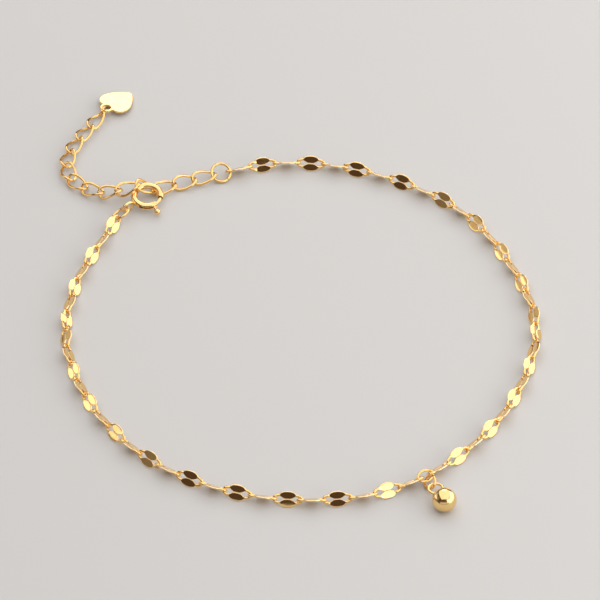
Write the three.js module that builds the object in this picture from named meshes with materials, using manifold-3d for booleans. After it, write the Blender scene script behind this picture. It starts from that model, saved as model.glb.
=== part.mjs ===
// A fine chain anklet, fastened and lying in a loop on a table. Millimetres, +Z up, the table at z = 0.
// A lip chain runs from the clasp round to an end ring. An extender chain with a heart tag follows it,
// and the spring ring clasp is hooked into the extender. A ball charm hangs from an oval ring in the chain.

import * as THREE from 'three';
import { mergeVertices } from 'three/addons/utils/BufferGeometryUtils.js';
import Module from 'manifold-3d';

// Lip chain: each link is a wire loop whose two long sides are pressed flat into lips.
const LIP_PITCH = 3.66;
const LIP_WIRE_RADIUS = 0.18;
const LIP_OFFSET = 0.6;
const LIP_HALF_WIDTH = 0.575;
const LIP_HALF_LENGTH = 1.3;
const LIP_HALF_THICKNESS = 0.11;
const LIP_SQUARENESS = 3;
const LIP_SHOULDER = 1.3;
const LIP_ROLL_DEG = 45;
const LIP_LEAN_DEG = 7;
const LIP_SEAT = 0.06;
const SECTION_SLACK = 0.28;
const LEFT_SECTIONS = [5, 5, 6, 6, 5];
const RIGHT_SECTIONS = [6, 6, 6, 5, 5];

// Loop of the lip chain on the table, from the clasp round the front to the end ring, seen from above.
const LOOP_CENTRE = { x: 0.6, y: -7.2 };
const LOOP_ROUTE = [
  { bearing: 139, radius: 35.95 },
  { bearing: 149, radius: 34.7 },
  { bearing: 165, radius: 34.3 },
  { bearing: 185, radius: 34.3 },
  { bearing: 210, radius: 34.4 },
  { bearing: 235, radius: 35.2 },
  { bearing: 260, radius: 35.7 },
  { bearing: 285, radius: 36.2 },
  { bearing: 305, radius: 35.4 },
  { bearing: 330, radius: 34.3 },
  { bearing: 360, radius: 34.3 },
  { bearing: 390, radius: 33.8 },
  { bearing: 410, radius: 34.7 },
  { bearing: 435, radius: 35.3 },
  { bearing: 455, radius: 35.9 },
  { bearing: 480, radius: 36.4 },
];

// Oval ring in the chain, its jump ring, and the ball with its soldered bail ring.
// Places of the hanging pieces are measured outwards from the oval ring, and up from the table.
const CHARM_LINK = { halfLength: 1.22, halfWidth: 0.8, wire: 0.18, gap: 1.4, roll: 27 };
const CHARM_HEADING_DEG = -10;
const CHARM_RING = { halfLength: 1.35, halfWidth: 1.0, wire: 0.19, out: 1.55, up: 1.06, rise: 21, lean: 52 };
const CHARM_BAIL = { radius: 1.03, wire: 0.2, out: 3.37, up: 1.46, rise: 3 };
const BALL = { radius: 1.75, out: 6.16 };

// Spring ring clasp. Angles run anticlockwise round the ring from its right-hand side.
const CLASP_CENTRE = { x: -22.3, y: 20.8, z: 1.35 };
const CLASP_TILT_DEG = 9;
const CLASP_RADIUS = 1.98;
const CLASP_TUBE_RADIUS = 0.5;
const CLASP_BORE_RADIUS = 0.36;
const CLASP_GAP_DEG = { from: 311, to: 349 };
const BOLT_RADIUS = 0.25;
const BOLT_DEG = { from: 245, to: 355 };
const THUMB_DEG = 297;
const THUMB_TRAVEL_DEG = 44;
const THUMB_STEM_RADIUS = 0.17;
const THUMB_KNOB = { radius: 0.48, reach: 3.4 };
const SLOT_HALF_WIDTH = 0.24;
const SLOT_MARGIN_DEG = 9;
const SLOT_CUTS = 12;
const CLASP_LOOP = { bearing: 216, reach: 3.55, halfLength: 0.95, halfHeight: 0.74, wire: 0.2 };

// Plain rings between the pieces, and the slack left where pieces hook into each other.
const CLASP_JUMP_RING = { radius: 1.37, wire: 0.18, roll: 33 };
const END_RING = { radius: 1.42, wire: 0.21, roll: -31 };
const LIP_SEAT_GAP = 0.26;
const SEAT_GAP = 0.12;

// Extender chain: twisted oval links. The route gives the points where links bear on each other.
// The fourth link is hooked in the clasp, and the links near it lie turned and slack.
const EXTENDER_COUNT = 13;
const EXTENDER_PITCH = 3.2;
const EXTENDER_WIRE = 0.2;
const EXTENDER_HALF_WIDTH = 1.03;
const EXTENDER_SQUARENESS = 2.4;
const EXTENDER_TWIST_DEG = -40;
const EXTENDER_ROLL_DEG = -10;
const EXTENDER_ODD_ROLLS = { 1: -14, 2: -30, 3: -14 };
const EXTENDER_ODD_TWISTS = { 3: -27, 4: -28, 5: -45 };
const EXTENDER_SLACK = { 4: 0.12, 5: 0.05, 6: 0.4, 7: 0.3, 8: 0.25, 9: 0.2, 10: 0.03 };
const EXTENDER_ROUTE = [
  { x: -15.5, y: 24.9, z: 0.92 },
  { x: -18.4, y: 23.7, z: 0.98 },
  { x: -21.9, y: 22.7, z: 0.75 },
  { x: -24.2, y: 22.0, z: 2.7 },
  { x: -27.2, y: 21.2, z: 1.6 },
  { x: -29.2, y: 21.8, z: 1.05 },
  { x: -31.6, y: 23.0, z: 0.8 },
  { x: -34.0, y: 25.4, z: 0.8 },
  { x: -34.7, y: 28.2, z: 0.8 },
  { x: -34.2, y: 31.1, z: 0.8 },
  { x: -33.0, y: 34.0, z: 0.8 },
  { x: -31.4, y: 36.7, z: 0.8 },
  { x: -29.7, y: 39.7, z: 0.93 },
  { x: -28.7, y: 41.4, z: 0.93 },
];

// Flat heart tag, in its own plane: the tab with its hole is at the origin, the tip is on +X.
const HEART_RING = { radius: 0.76, wire: 0.15, roll: 90, heading: 60 };
const HEART = { halfWidth: 2.55, length: 5.3, thickness: 0.4, cleft: 0.7, tilt: 7, heading: 48 };
const HEART_TAB = { radius: 1.0, hole: 0.62 };
const LOBE_CURVE = { cleftBack: 0.9, lobeBack: 0.6, widest: 1.1, flank: 2.4 };
const TIP_CURVE = { back: 0.6, spread: 1.2, halfWidth: 0.35, round: 0.2 };

// Facets
const LIP_FACETS = { steps: 16, sides: 4 };
const LINK_FACETS = { steps: 16, sides: 5 };
const RING_FACETS = { steps: 18, sides: 6 };
const CLASP_STEPS = 30;
const CLASP_CURVE_SEGMENTS = 4;
const BALL_FACETS = { round: 18, down: 12 };
const KNOB_FACETS = { round: 12, down: 8 };
const STEM_SIDES = 10;
const SLOT_SIDES = 12;
const HEART_CURVE_SEGMENTS = 6;
const ROUTE_DIVISIONS = 2000;
const WELD = 1e-4;

const UP = new THREE.Vector3(0, 0, 1);
const radians = THREE.MathUtils.degToRad;

const wasm = await Module();
wasm.setup();

/** A closed geometry as a solid that can be joined and cut. */
function toSolid(geometry) {
  const bare = geometry.clone();
  bare.deleteAttribute('normal');
  bare.deleteAttribute('uv');
  const merged = mergeVertices(bare, WELD);
  return new wasm.Manifold(new wasm.Mesh({
    numProp: 3,
    vertProperties: Float32Array.from(merged.attributes.position.array),
    triVerts: Uint32Array.from(merged.index.array),
  }));
}

/** A solid back as a geometry. */
function toGeometry(solid) {
  const { vertProperties, triVerts } = solid.getMesh();
  const geometry = new THREE.BufferGeometry();
  geometry.setAttribute('position', new THREE.BufferAttribute(vertProperties, 3));
  geometry.setIndex(new THREE.BufferAttribute(triVerts, 1));
  geometry.computeVertexNormals();
  return geometry;
}

/** Several geometries joined into one solid. */
function joined(geometries) {
  return toGeometry(geometries.map(toSolid).reduce((whole, piece) => whole.add(piece)));
}

/**
 * A closed wire loop in the XY plane, long axis on X. The wire's centre follows a superellipse, and its
 * section is a polygon of the given half width (in the plane) and half thickness at each place along it.
 */
function wireLoop({ halfLength, halfWidth, squareness, section, twist = 0, facets }) {
  const { steps, sides } = facets;
  const geometry = new THREE.TorusGeometry(1, 0.5, sides, steps);
  const { position, uv } = geometry.attributes;
  const cornerTurn = sides === 4 ? Math.PI / 4 : 0;
  const cornerReach = sides === 4 ? Math.SQRT2 : 1;
  for (let i = 0; i < position.count; i += 1) {
    const round = uv.getX(i) * 2 * Math.PI;
    const wire = uv.getY(i) * 2 * Math.PI + cornerTurn;
    const along = Math.cos(round);
    const side = Math.sign(Math.round(Math.sin(round) * 1e6));
    const across = side * (1 - Math.abs(along) ** squareness) ** (1 / squareness);
    const outward = new THREE.Vector2(
      Math.sign(along) * Math.abs(along) ** (squareness - 1) / halfLength,
      side * Math.abs(across) ** (squareness - 1) / halfWidth,
    ).normalize();
    const { width, thickness } = section(along * halfLength);
    const reach = cornerReach * Math.cos(wire) * width;
    const point = new THREE.Vector3(
      along * halfLength + outward.x * reach,
      across * halfWidth + outward.y * reach,
      cornerReach * Math.sin(wire) * thickness,
    );
    point.applyAxisAngle(new THREE.Vector3(1, 0, 0), twist * along);
    position.setXYZ(i, point.x, point.y, point.z);
  }
  return geometry;
}

/** A loop of plain round wire. */
function roundLoop(halfLength, halfWidth, wire, facets = RING_FACETS, squareness = 2, twist = 0) {
  const section = () => ({ width: wire, thickness: wire });
  return wireLoop({ halfLength, halfWidth, squareness, section, twist, facets });
}

/** One lip link: round wire at both ends, wide and thin along the middle. */
function lipLink() {
  const halfLength = (LIP_PITCH - LIP_SEAT) / 2 + LIP_WIRE_RADIUS;
  const section = (x) => {
    const bulge = Math.sqrt(Math.max(0, 1 - (x / LIP_HALF_LENGTH) ** 2));
    return {
      width: Math.max(LIP_WIRE_RADIUS, LIP_HALF_WIDTH * bulge),
      thickness: LIP_WIRE_RADIUS + (LIP_HALF_THICKNESS - LIP_WIRE_RADIUS) * Math.min(1, LIP_SHOULDER * bulge),
    };
  };
  return wireLoop({
    halfLength, halfWidth: LIP_OFFSET, squareness: LIP_SQUARENESS, section, facets: LIP_FACETS,
  });
}

/** Turns and moves local X along a direction, with local Y rolled up from the left-hand side by an angle. */
function placement(centre, direction, rollDeg) {
  const ahead = direction.clone().normalize();
  const left = UP.clone().cross(ahead).normalize();
  const across = left.applyAxisAngle(ahead, radians(rollDeg));
  const facing = ahead.clone().cross(across);
  return new THREE.Matrix4().makeBasis(ahead, across, facing).setPosition(centre);
}

/** The place on a curve, as a fraction of its length, one straight chord beyond another place. */
function stepAlong(curve, from, chord) {
  const start = curve.getPointAt(from);
  let near = from;
  let far = Math.min(1, from + 2 * chord / curve.getLength());
  for (let i = 0; i < 40; i += 1) {
    const middle = (near + far) / 2;
    if (curve.getPointAt(middle).distanceTo(start) < chord) near = middle;
    else far = middle;
  }
  return near;
}

const anklet = new THREE.Group();

/** Adds a named piece with its own polished metal. */
function addPiece(name, geometry, { color, roughness }, parent = anklet) {
  const piece = new THREE.Mesh(geometry, new THREE.MeshStandardMaterial({ color, roughness, metalness: 1 }));
  piece.name = name;
  parent.add(piece);
  return piece;
}

const LIP_GOLD = { color: 0xe8c27a, roughness: 0.08 };
const LINK_GOLD = { color: 0xe0b86c, roughness: 0.12 };
const BRIGHT_GOLD = { color: 0xf0d48c, roughness: 0.06 };

// The lip chain's route on the table, with the height of the steepest link, which leans on one lip's edge.
const steepestRoll = radians(LIP_ROLL_DEG + LIP_LEAN_DEG);
const lipHeight = (LIP_OFFSET + LIP_HALF_WIDTH) * Math.sin(steepestRoll)
  + LIP_HALF_THICKNESS * Math.cos(steepestRoll);
const loopRoute = new THREE.CatmullRomCurve3(LOOP_ROUTE.map(({ bearing, radius }) => new THREE.Vector3(
  LOOP_CENTRE.x + radius * Math.cos(radians(bearing)),
  LOOP_CENTRE.y + radius * Math.sin(radians(bearing)),
  lipHeight,
)));
loopRoute.arcLengthDivisions = ROUTE_DIVISIONS;

/**
 * One stretch of lip chain in sections. Odd and even places lean opposite ways, and the whole chain leans
 * a little to the front. Returns where it ends.
 */
function addLipStretch(side, sections, start, firstPlace) {
  let place = firstPlace;
  let at = start;
  sections.forEach((count, index) => {
    if (index > 0) at -= SECTION_SLACK / loopRoute.getLength();
    const links = [];
    for (let i = 0; i < count; i += 1) {
      const next = stepAlong(loopRoute, at, LIP_PITCH);
      const [tail, head] = [loopRoute.getPointAt(at), loopRoute.getPointAt(next)];
      const centre = tail.clone().lerp(head, 0.5);
      const ahead = head.sub(tail).normalize();
      const roll = (place % 2 === 0 ? LIP_ROLL_DEG : -LIP_ROLL_DEG) + LIP_LEAN_DEG * ahead.x;
      links.push(lipLink().applyMatrix4(placement(centre, ahead, roll)));
      at = next;
      place += 1;
    }
    addPiece(`lip_chain_${side}_${index + 1}`, joined(links), LIP_GOLD);
  });
  return at;
}

const leftCount = LEFT_SECTIONS.reduce((sum, count) => sum + count, 0);
const leftEnd = addLipStretch('left', LEFT_SECTIONS, 0, 1);
const rightStart = stepAlong(loopRoute, leftEnd, CHARM_LINK.gap);
const rightEnd = addLipStretch('right', RIGHT_SECTIONS, rightStart, leftCount + 2);

// The charm's oval ring takes one place in the chain, with the ends of both neighbours slack inside it.
const charmTail = loopRoute.getPointAt(leftEnd);
const charmHead = loopRoute.getPointAt(rightStart);
const charmAhead = charmHead.clone().sub(charmTail).normalize();
const charmCentre = charmTail.clone().lerp(charmHead, 0.5);
const charmLoop = roundLoop(CHARM_LINK.halfLength, CHARM_LINK.halfWidth, CHARM_LINK.wire);
charmLoop.applyMatrix4(placement(charmCentre, charmAhead, CHARM_LINK.roll));
addPiece('charm_link', charmLoop, LINK_GOLD);

// The charm lies outwards from that ring: a jump ring, then the bail ring soldered to the ball's side.
const charm = new THREE.Group();
const charmOut = charmAhead.clone().cross(UP);
charm.position.set(charmCentre.x, charmCentre.y, 0);
charm.rotation.z = Math.atan2(charmOut.y, charmOut.x) + radians(CHARM_HEADING_DEG);
anklet.add(charm);

const charmRing = addPiece(
  'charm_ring', roundLoop(CHARM_RING.halfLength, CHARM_RING.halfWidth, CHARM_RING.wire), LINK_GOLD, charm,
);
charmRing.position.set(CHARM_RING.out, 0, CHARM_RING.up);
charmRing.rotation.set(radians(CHARM_RING.lean), -radians(CHARM_RING.rise), 0, 'YXZ');

const bail = roundLoop(CHARM_BAIL.radius, CHARM_BAIL.radius, CHARM_BAIL.wire);
bail.rotateY(-radians(CHARM_BAIL.rise));
bail.translate(CHARM_BAIL.out, 0, CHARM_BAIL.up);
const ball = new THREE.SphereGeometry(BALL.radius, BALL_FACETS.round, BALL_FACETS.down);
ball.rotateX(Math.PI / 2);
ball.translate(BALL.out, 0, BALL.radius);
addPiece('charm_ball', joined([ball, bail]), BRIGHT_GOLD, charm);

/** A circular arc round the clasp's axis, from one angle to another. */
class RingArc extends THREE.Curve {
  constructor(fromDeg, toDeg) {
    super();
    this.from = radians(fromDeg);
    this.to = radians(toDeg);
  }

  getPoint(t) {
    const angle = this.from + (this.to - this.from) * t;
    return new THREE.Vector3(CLASP_RADIUS * Math.cos(angle), CLASP_RADIUS * Math.sin(angle), 0);
  }
}

/** A profile carried round the clasp's ring. */
function roundTheRing(profile, fromDeg, toDeg) {
  const steps = Math.max(4, Math.round(CLASP_STEPS * (toDeg - fromDeg) / 360));
  return new THREE.ExtrudeGeometry(profile, {
    steps, extrudePath: new RingArc(fromDeg, toDeg), curveSegments: CLASP_CURVE_SEGMENTS,
  });
}

/** A round disc profile. */
function disc(radius) {
  return new THREE.Shape().absarc(0, 0, radius, 0, 2 * Math.PI);
}

// The clasp lies nearly flat, its back raised by the extender link that it is hooked into.
const clasp = new THREE.Group();
clasp.position.set(CLASP_CENTRE.x, CLASP_CENTRE.y, CLASP_CENTRE.z);
clasp.rotation.x = radians(CLASP_TILT_DEG);
anklet.add(clasp);

// Clasp body: a bent tube with a gap, a thumb slot along its outer side and the end loop soldered on.
const tubeProfile = disc(CLASP_TUBE_RADIUS);
tubeProfile.holes.push(new THREE.Path().absarc(0, 0, CLASP_BORE_RADIUS, 0, 2 * Math.PI));
const tube = roundTheRing(tubeProfile, CLASP_GAP_DEG.to - 360, CLASP_GAP_DEG.from);
const slotCutter = new THREE.CylinderGeometry(SLOT_HALF_WIDTH, SLOT_HALF_WIDTH, CLASP_RADIUS, SLOT_SIDES);
slotCutter.rotateZ(-Math.PI / 2);
slotCutter.translate(CLASP_RADIUS + CLASP_RADIUS / 2, 0, 0);
const slotEnds = [THUMB_DEG + SLOT_MARGIN_DEG, THUMB_DEG - THUMB_TRAVEL_DEG - SLOT_MARGIN_DEG];
let claspBody = toSolid(tube);
for (let i = 0; i <= SLOT_CUTS; i += 1) {
  const angle = radians(THREE.MathUtils.lerp(slotEnds[0], slotEnds[1], i / SLOT_CUTS));
  claspBody = claspBody.subtract(toSolid(slotCutter.clone().rotateZ(angle)));
}
const endLoop = roundLoop(CLASP_LOOP.halfLength, CLASP_LOOP.halfHeight, CLASP_LOOP.wire);
endLoop.rotateX(Math.PI / 2);
endLoop.translate(CLASP_LOOP.reach, 0, 0);
endLoop.rotateZ(radians(CLASP_LOOP.bearing));
addPiece('clasp_ring', toGeometry(claspBody.add(toSolid(endLoop))), BRIGHT_GOLD, clasp);

// Clasp bolt: a curved rod that closes the gap, with the thumb knob's stem coming out through the slot.
const rod = roundTheRing(disc(BOLT_RADIUS), BOLT_DEG.from, BOLT_DEG.to);
const stem = new THREE.CylinderGeometry(
  THUMB_STEM_RADIUS, THUMB_STEM_RADIUS, THUMB_KNOB.reach - CLASP_RADIUS, STEM_SIDES,
);
stem.rotateZ(-Math.PI / 2);
stem.translate((THUMB_KNOB.reach + CLASP_RADIUS) / 2, 0, 0);
const knob = new THREE.SphereGeometry(THUMB_KNOB.radius, KNOB_FACETS.round, KNOB_FACETS.down);
knob.translate(THUMB_KNOB.reach, 0, 0);
const thumb = [stem, knob].map((piece) => piece.rotateZ(radians(THUMB_DEG)));
addPiece('clasp_bolt', joined([rod, ...thumb]), BRIGHT_GOLD, clasp);

// Jump ring from the clasp's end loop to the first lip link.
const chainStart = loopRoute.getPointAt(0);
const loopFarSide = new THREE.Vector3(CLASP_LOOP.reach + CLASP_LOOP.halfLength - CLASP_LOOP.wire, 0, 0);
loopFarSide.applyAxisAngle(UP, radians(CLASP_LOOP.bearing));
loopFarSide.applyEuler(clasp.rotation).add(clasp.position);
const jumpRing = roundLoop(CLASP_JUMP_RING.radius, CLASP_JUMP_RING.radius, CLASP_JUMP_RING.wire);
jumpRing.applyMatrix4(placement(
  loopFarSide.clone().lerp(chainStart, 0.5), chainStart.clone().sub(loopFarSide), CLASP_JUMP_RING.roll,
));
addPiece('clasp_jump_ring', jumpRing, LINK_GOLD);

// End ring of the lip chain, and the first bearing point of the extender on its far side.
const chainEnd = loopRoute.getPointAt(rightEnd);
const endRingInside = END_RING.radius - END_RING.wire;
const endRingCentre = chainEnd.clone().addScaledVector(
  loopRoute.getTangentAt(rightEnd), endRingInside - LIP_SEAT_GAP,
);
const extenderAhead = new THREE.Vector3().copy(EXTENDER_ROUTE[0]).sub(endRingCentre).normalize();
const endRingLoop = roundLoop(END_RING.radius, END_RING.radius, END_RING.wire);
endRingLoop.applyMatrix4(placement(endRingCentre, extenderAhead, END_RING.roll));
addPiece('end_ring', endRingLoop, LINK_GOLD);
const extenderStart = endRingCentre.clone().addScaledVector(extenderAhead, endRingInside - SEAT_GAP);

// Extender links, each lying between two bearing points one pitch apart on the route.
const extenderRoute = new THREE.CatmullRomCurve3([
  extenderStart,
  ...EXTENDER_ROUTE.map(({ x, y, z }) => new THREE.Vector3(x, y, z)),
]);
extenderRoute.arcLengthDivisions = ROUTE_DIVISIONS;
const extenderHalfLength = (EXTENDER_PITCH + SEAT_GAP) / 2 + EXTENDER_WIRE;
let bearing = 0;
for (let number = 1; number <= EXTENDER_COUNT; number += 1) {
  bearing -= (EXTENDER_SLACK[number] ?? 0) / extenderRoute.getLength();
  const next = stepAlong(extenderRoute, bearing, EXTENDER_PITCH);
  const [tail, head] = [extenderRoute.getPointAt(bearing), extenderRoute.getPointAt(next)];
  const link = roundLoop(
    extenderHalfLength, EXTENDER_HALF_WIDTH, EXTENDER_WIRE, LINK_FACETS, EXTENDER_SQUARENESS,
    radians(EXTENDER_ODD_TWISTS[number] ?? EXTENDER_TWIST_DEG),
  );
  const roll = EXTENDER_ODD_ROLLS[number] ?? EXTENDER_ROLL_DEG;
  link.applyMatrix4(placement(tail.clone().lerp(head, 0.5), head.clone().sub(tail), roll));
  addPiece(`extender_link_${String(number).padStart(2, '0')}`, link, LINK_GOLD);
  bearing = next;
}

// Small ring that ties the heart tag to the last link.
const extenderEnd = extenderRoute.getPointAt(bearing);
const heartRingAhead = new THREE.Vector3(1, 0, 0).applyAxisAngle(UP, radians(HEART_RING.heading));
const heartRingInside = HEART_RING.radius - HEART_RING.wire - SEAT_GAP / 2;
const heartRingCentre = extenderEnd.clone().addScaledVector(heartRingAhead, heartRingInside);
const heartRingEnd = heartRingCentre.clone().addScaledVector(heartRingAhead, heartRingInside);
const heartRing = roundLoop(HEART_RING.radius, HEART_RING.radius, HEART_RING.wire);
heartRing.applyMatrix4(placement(heartRingCentre, heartRingAhead, HEART_RING.roll));
addPiece('heart_ring', heartRing, LINK_GOLD);

// Heart tag: two round lobes and a rounded tip, with a pierced tab in the cleft.
const heartOutline = new THREE.Shape();
const { halfWidth, length, cleft } = HEART;
const widest = cleft + LOBE_CURVE.widest;
const [backCleft, backLobe] = [cleft - LOBE_CURVE.cleftBack, cleft - LOBE_CURVE.lobeBack];
const [flank, backTip] = [cleft + LOBE_CURVE.flank, length - TIP_CURVE.back];
heartOutline.moveTo(cleft, 0);
heartOutline.bezierCurveTo(backCleft, LOBE_CURVE.cleftBack, backLobe, halfWidth, widest, halfWidth);
heartOutline.bezierCurveTo(flank, halfWidth, backTip, TIP_CURVE.spread, length, TIP_CURVE.halfWidth);
heartOutline.quadraticCurveTo(length + TIP_CURVE.round, 0, length, -TIP_CURVE.halfWidth);
heartOutline.bezierCurveTo(backTip, -TIP_CURVE.spread, flank, -halfWidth, widest, -halfWidth);
heartOutline.bezierCurveTo(backLobe, -halfWidth, backCleft, -LOBE_CURVE.cleftBack, cleft, 0);

/** A flat solid of a given outline and thickness, standing on the XY plane. */
function plate(outline, depth) {
  const options = { depth, bevelEnabled: false, curveSegments: HEART_CURVE_SEGMENTS };
  return toSolid(new THREE.ExtrudeGeometry(outline, options));
}

const tabHole = plate(disc(HEART_TAB.hole), 3 * HEART.thickness).translate([0, 0, -HEART.thickness]);
const heartBody = plate(heartOutline, HEART.thickness)
  .add(plate(disc(HEART_TAB.radius), HEART.thickness))
  .subtract(tabHole);
const heart = addPiece('heart_tag', toGeometry(heartBody), BRIGHT_GOLD);
heart.position.copy(heartRingEnd).addScaledVector(heartRingAhead, HEART_TAB.hole - 2 * SEAT_GAP);
heart.position.z -= HEART.thickness / 2;
heart.rotation.set(0, radians(HEART.tilt), radians(HEART.heading), 'ZYX');

export default anklet;
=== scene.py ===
import bmesh
import bpy
import numpy as np
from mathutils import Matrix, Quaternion, Vector


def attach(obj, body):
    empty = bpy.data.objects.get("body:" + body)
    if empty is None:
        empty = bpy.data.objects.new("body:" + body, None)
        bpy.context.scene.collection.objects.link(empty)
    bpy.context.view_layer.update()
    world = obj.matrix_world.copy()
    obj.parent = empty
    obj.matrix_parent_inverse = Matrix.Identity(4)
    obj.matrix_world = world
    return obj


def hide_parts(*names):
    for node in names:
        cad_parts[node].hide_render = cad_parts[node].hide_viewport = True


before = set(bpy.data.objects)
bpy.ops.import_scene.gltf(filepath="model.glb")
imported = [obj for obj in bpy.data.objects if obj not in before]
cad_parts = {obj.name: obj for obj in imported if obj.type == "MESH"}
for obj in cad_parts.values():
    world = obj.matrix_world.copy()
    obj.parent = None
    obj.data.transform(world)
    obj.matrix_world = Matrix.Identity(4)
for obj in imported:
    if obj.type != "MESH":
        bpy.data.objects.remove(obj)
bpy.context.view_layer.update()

# Lip chain. Each link is a loop of gold-plated silver wire, round at its two bows, whose long sides are
# rolled out into thin flat lips that meet in the middle. A link is threaded through the one before it and
# soldered shut, and the links lie on the table leaning left and right by turns and a little to the front.

MM = 0.001  # sizes are in millimetres and angles in degrees, unless a note says otherwise
UP = np.array([0.0, 0.0, 1.0])
CURVE_SAMPLES = 4001
CHORD_HALVINGS = 40
EXACT_DIGITS = 9
LIP_PITCH = 3.66
LIP_WIRE = 0.18
BOW_WIRE = 0.19
LIP_OFFSET = 0.6  # from the link's middle to the wire's
LIP_HALF_WIDTH = 0.575  # from the wire's middle to the edge that lies on the table
LIP_HALF_LENGTH = 1.23
LIP_HALF_THICKNESS = 0.11
LIP_SQUARENESS = 3
LIP_SHOULDER = 1.3  # how far towards the bows a lip stays thin
LIP_REACH = 0.56  # outwards from the wire's middle
LIP_ROLL = 45
LIP_LEAN = 7  # to the front
LIP_SEAT = 0.06  # a link's inside is shorter than the pitch by this
LIP_STATIONS = 120
LIP_EDGE_POINTS = 9
LIP_MAP = (9.6, 2.4)  # length and girth of a link's wire
BULGE_POWER = 2.4  # these powers shape a lip from its middle to the bows
THIN_POWER = 0.5
REACH_POWER = 0.6
HOLE_POWER = 1.3
WORN_POWER = 0.5
SEAM_HALF_LENGTH = 0.36  # where the two lips meet
SEAM_GAP = 0.008
HOLE_SPREAD = 0.42  # how far the inner edges part beyond it
BOW_FLAT = 0.012  # what a bow is wider than it is thick, at each side
ROLLED_EDGE = 0.8  # share of a lip's width where its crown ends
SEAM_EDGE = 0.4  # power that squares the edges at the seam
LIP_CROWN = 0.004
LIP_UNEVEN = 2.2  # spread of the lips' tilt
UNEVEN_SEED = 5
SECTION_SLACK = 0.28  # a section starts this far before the last one's end
LEFT_SECTIONS = [5, 5, 6, 6, 5]
RIGHT_SECTIONS = [6, 6, 6, 5, 5]
CHARM_GAP = 1.4
LOOP_CENTRE = (0.6, -7.2)
LOOP_ROUTE = [  # bearing in degrees and radius, from the clasp round the front to the end ring
    (139, 35.95), (149, 34.7), (165, 34.3), (185, 34.3), (210, 34.4), (235, 35.2), (260, 35.7), (285, 36.2),
    (305, 35.4), (330, 34.3), (360, 34.3), (390, 33.8), (410, 34.7), (435, 35.3), (455, 35.9), (480, 36.4),
]
PATCH_SCALE, PATCH_DETAIL = 900, 2  # noise scales are per metre, and bump depths in metres
HAZE_SCALE, HAZE_DETAIL = 2600, 4
DRAWN_STRETCH, DRAWN_DETAIL = (1.2, 30, 1), 3
NOISE_LOW, NOISE_HIGH = 0.3, 0.7
GRAIN_STRENGTH, GRAIN_DEPTH = 0.25, 0.000002
RIPPLE_STRENGTH, RIPPLE_DEPTH = 0.3, 0.00001


def smooth_route(points):
    """A smooth curve through points. Between two of them it is a cubic whose end slopes weigh the
    neighbouring spans by the square root of their length, and both ends run on straight. Returns places
    along the curve, and how far along it each of them is."""
    points = np.asarray(points, float)
    knots = np.vstack([2 * points[0] - points[1], points, 2 * points[-1] - points[-2]])
    spans = np.linalg.norm(np.diff(knots, axis=0), axis=1)[:, None] ** 0.5
    share = np.linspace(0, len(points) - 1, CURVE_SAMPLES)
    k = np.minimum(share.astype(int), len(points) - 2)
    t = (share - k)[:, None]
    before, start, end, after = (knots[k + i] for i in range(4))
    first, own, last = (spans[k + i] for i in range(3))
    leave = ((start - before) / first - (end - before) / (first + own) + (end - start) / own) * own
    arrive = ((end - start) / own - (after - start) / (own + last) + (after - end) / last) * own
    square = 3 * (end - start) - 2 * leave - arrive
    cube = 2 * (start - end) + leave + arrive
    places = start + leave * t + square * t**2 + cube * t**3
    steps = np.linalg.norm(np.diff(places, axis=0), axis=1)
    return places, np.concatenate([[0], np.cumsum(steps)])


def along(route, distance):
    """The place on a route at a distance along it, straight between the two nearest samples."""
    places, distances = route
    return np.array([np.interp(distance, distances, places[:, i]) for i in range(3)])


def chord_on(route, start, chord):
    """How far along the route a place lies that is one straight chord beyond another, by halving."""
    near, far = start, min(route[1][-1], start + 2 * chord)
    for _ in range(CHORD_HALVINGS):
        middle = (near + far) / 2
        if np.linalg.norm(along(route, middle) - along(route, start)) < chord:
            near = middle
        else:
            far = middle
    return near


def unit(vector):
    """A vector divided by its own length."""
    return vector / np.linalg.norm(vector)


def turn_about(axis, degrees):
    """Rows are the three axes of a frame after a right-handed turn by a about an axis through the origin: the
    unit matrix, plus sin a times the axis's cross product matrix, plus 1 - cos a times its square."""
    x, y, z = unit(np.asarray(axis, float))
    a = np.radians(degrees)
    cross = np.array([[0, -z, y], [z, 0, -x], [-y, x, 0]])
    return (np.eye(3) + np.sin(a) * cross + (1 - np.cos(a)) * cross @ cross).T


def link_turn(direction, roll):
    """Rows are a link's own axes: x ahead, y to the left and rolled up by an angle, z square to both."""
    ahead = unit(direction)
    across = unit(np.cross(UP, ahead)) @ turn_about(ahead, roll)
    return np.array([ahead, across, np.cross(ahead, across)])


def loop_line(half_length, half_width, squareness, stations, opening=None):
    """Centre line of a wire loop, x = half_length cos u and y = half_width (1 - |cos u|^m)^(1/m) on the
    side of sin u, at even steps of its length. Returns the line, its outward normals and cos u. An opening
    is the angle of a cut and its width, and leaves the line open there."""
    def line_at(u):
        """The shares of the half length and half width at u, and the side it is on."""
        along_u = np.cos(u)
        side = np.sign(np.round(np.sin(u), EXACT_DIGITS))
        across_u = side * np.maximum(0, 1 - np.abs(along_u) ** squareness) ** (1 / squareness)
        return along_u, across_u, side

    start, cut = (np.radians(opening[0]), opening[1]) if opening else (0.0, 0.0)
    u = start + np.linspace(0, 2 * np.pi, CURVE_SAMPLES)
    a, b, _ = line_at(u)
    steps = np.hypot(np.diff(a * half_length), np.diff(b * half_width))
    length = np.concatenate([[0], np.cumsum(steps)])
    even = np.linspace(cut / 2, length[-1] - cut / 2, stations, endpoint=bool(opening))
    a, b, side = line_at(np.interp(even, length, u))
    normal = np.stack([
        np.sign(a) * np.abs(a) ** (squareness - 1) / half_length,
        side * np.abs(b) ** (squareness - 1) / half_width,
    ], -1)
    normal /= np.linalg.norm(normal, axis=1, keepdims=True)
    return np.stack([a * half_length, b * half_width], -1), normal, a


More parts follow.
